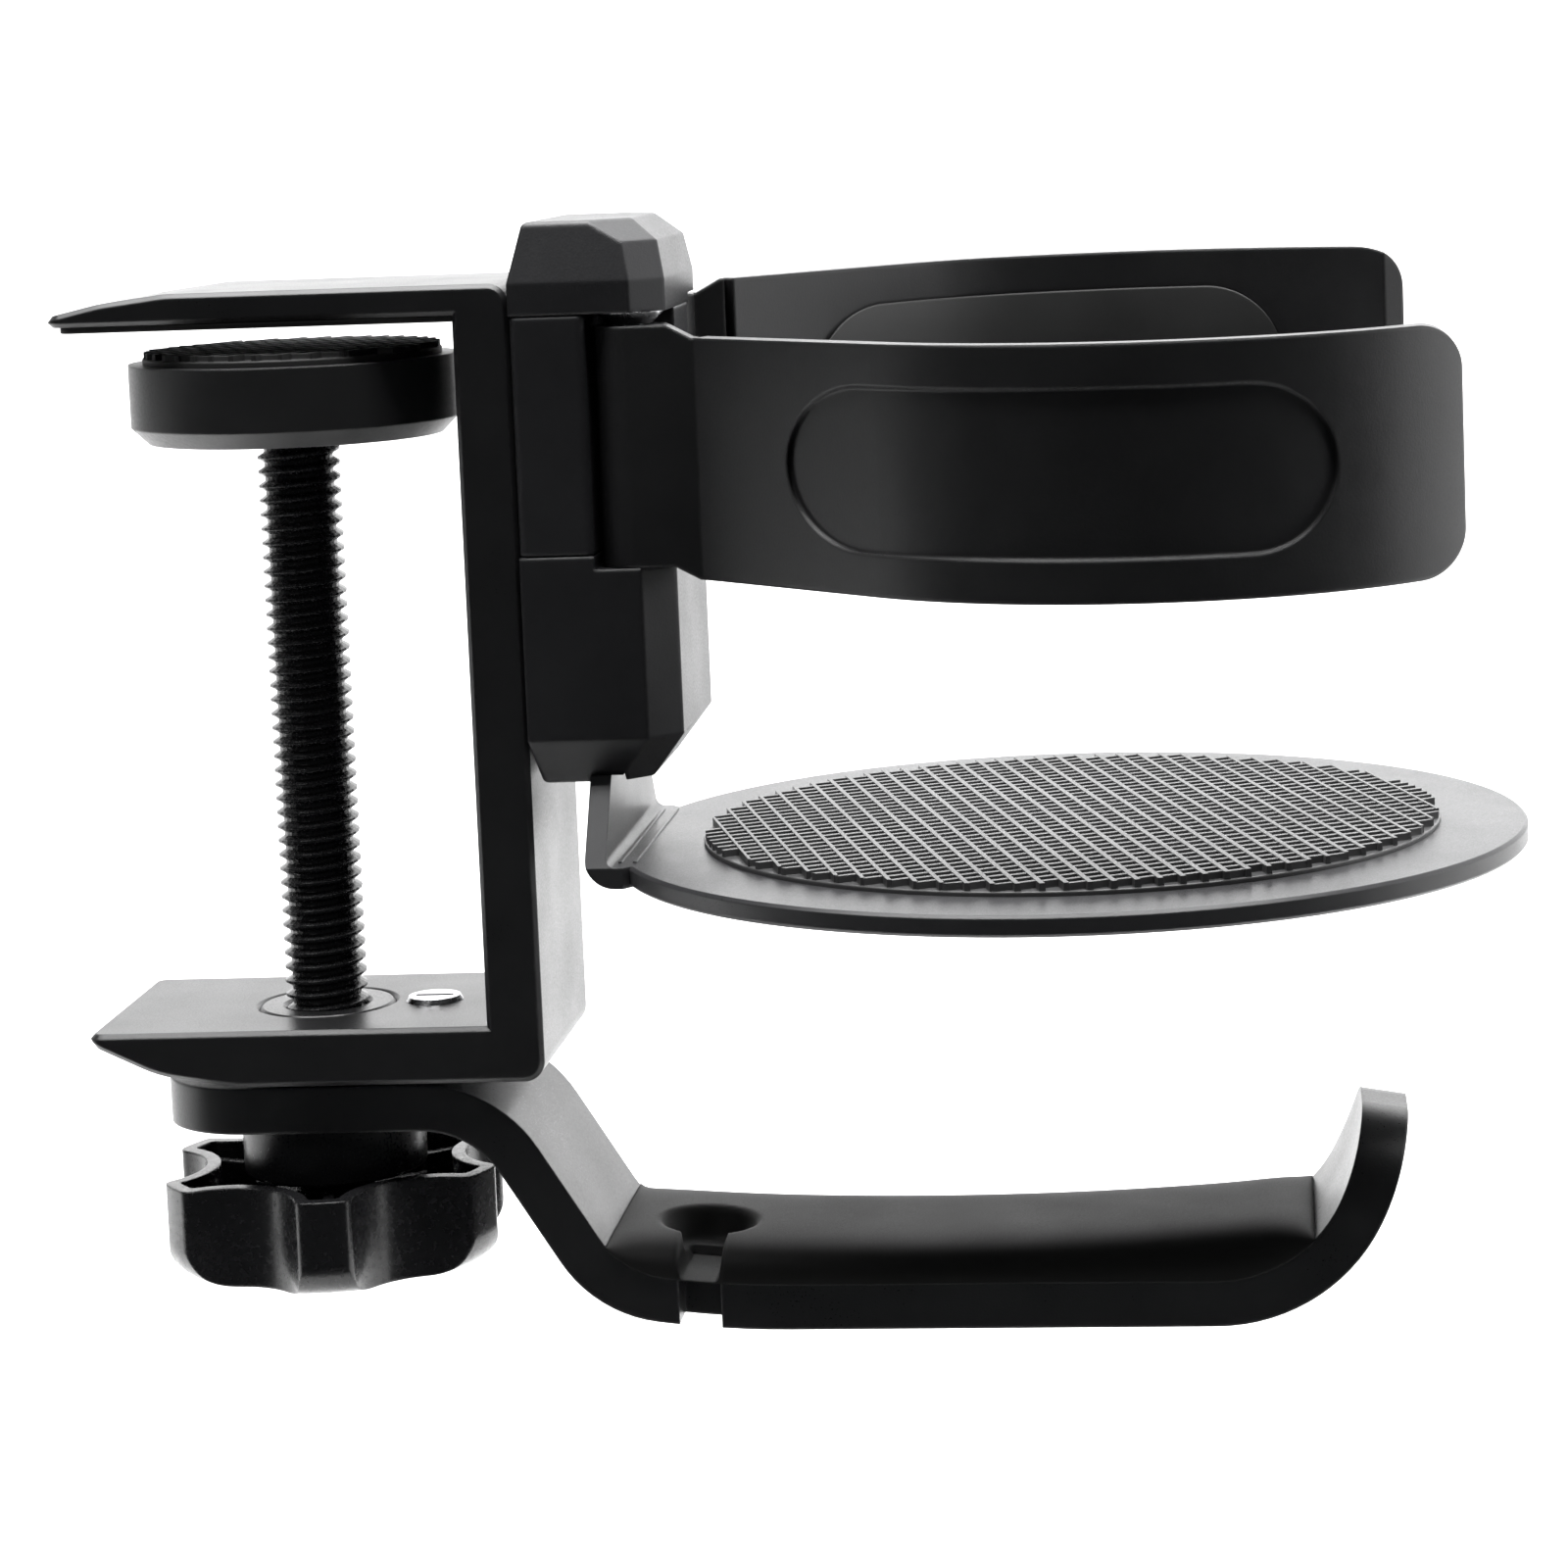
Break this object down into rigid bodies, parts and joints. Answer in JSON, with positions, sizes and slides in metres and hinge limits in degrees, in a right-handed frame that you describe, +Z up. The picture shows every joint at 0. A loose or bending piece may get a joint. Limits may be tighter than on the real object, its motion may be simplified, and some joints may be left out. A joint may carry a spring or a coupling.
{
  "type": "desk clamp cup holder",
  "caption": "C-shaped desk clamp with a hand screw, carrying a round cup tray with swinging arms around the cup and a swivelling headset hook underneath.",
  "frame": {"origin": "on the axis of the clamp screw, in the face of the upper jaw pad that rests on the desk top", "axes": "+Z up along the clamp screw, +X from the desk towards the cup tray, +Y across the clamp"},
  "size_m": [0.1391, 0.0923, 0.1077],
  "materials": {
    "frame_metal": "black anodised, fine blasted",
    "tray_metal": "black anodised, fine blasted",
    "hook_metal": "black anodised, fine blasted",
    "bush_steel": "black oxide",
    "screw_steel": "black oxide, oiled",
    "bright_steel": "plated",
    "washer_plastic": "matt",
    "housing_plastic": "fine matt grain",
    "arm_plastic": "fine matt grain",
    "foot_plastic": "satin",
    "knob_plastic": "satin, slightly glossy",
    "pad_rubber": "textured",
    "mat_rubber": "ribbed",
    "saddle_silicone": "soft matt",
    "grip_rubber": "soft matt"
  },
  "bodies": {
    "frame": {"clamp_frame": "frame_metal", "upper_jaw_pad": "pad_rubber", "clamp_bush": "bush_steel", "hook_collar": "bush_steel", "hook_washer": "washer_plastic", "detent_plunger": "bright_steel", "housing_middle_block": "housing_plastic", "housing_upper_cap": "housing_plastic", "housing_lower_cap": "housing_plastic", "fixing_screws": "screw_steel", "cap_screws": "screw_steel", "arm_front_hinge_pin": "bright_steel", "arm_rear_hinge_pin": "bright_steel", "arm_front_spring_washer": "bright_steel", "arm_rear_spring_washer": "bright_steel", "tray_plate": "tray_metal", "tray_mat": "mat_rubber"},
    "foot": {"foot_body": "foot_plastic", "foot_pad": "pad_rubber", "foot_snap_ring": "bright_steel"},
    "screw": {"clamp_screw": "screw_steel", "knob": "knob_plastic", "knob_pin": "bright_steel"},
    "hook": {"headset_hook": "hook_metal", "hook_pad": "saddle_silicone"},
    "front_arm": {"arm_front": "arm_plastic", "arm_front_grip": "grip_rubber"},
    "rear_arm": {"arm_rear": "arm_plastic", "arm_rear_grip": "grip_rubber"}
  },
  "joints": [
    {"name": "clamp_travel", "type": "slide", "parent": "frame", "child": "foot", "axis": [0, 0, 1], "range_m": [-0.054, 0.0018]},
    {"name": "clamp_turn", "type": "hinge", "parent": "foot", "child": "screw", "pos_m": [0, 0, -0.05], "axis": [0, 0, 1], "continuous": true},
    {"name": "hook_swivel", "type": "hinge", "parent": "frame", "child": "hook", "pos_m": [0, 0, -0.0757], "axis": [0, 0, 1], "continuous": true},
    {"name": "front_arm_swing", "type": "hinge", "parent": "frame", "child": "front_arm", "pos_m": [0.0346, -0.0095, -0.0123], "axis": [0, 0, -1], "range_deg": [0, 38]},
    {"name": "rear_arm_swing", "type": "hinge", "parent": "frame", "child": "rear_arm", "pos_m": [0.0346, 0.0095, -0.0105], "axis": [0, 0, 1], "range_deg": [-9, 29]}
  ],
  "couplings": [
    {"joint": "clamp_turn", "follows": "clamp_travel", "rad_per_m": 4488}
  ]
}
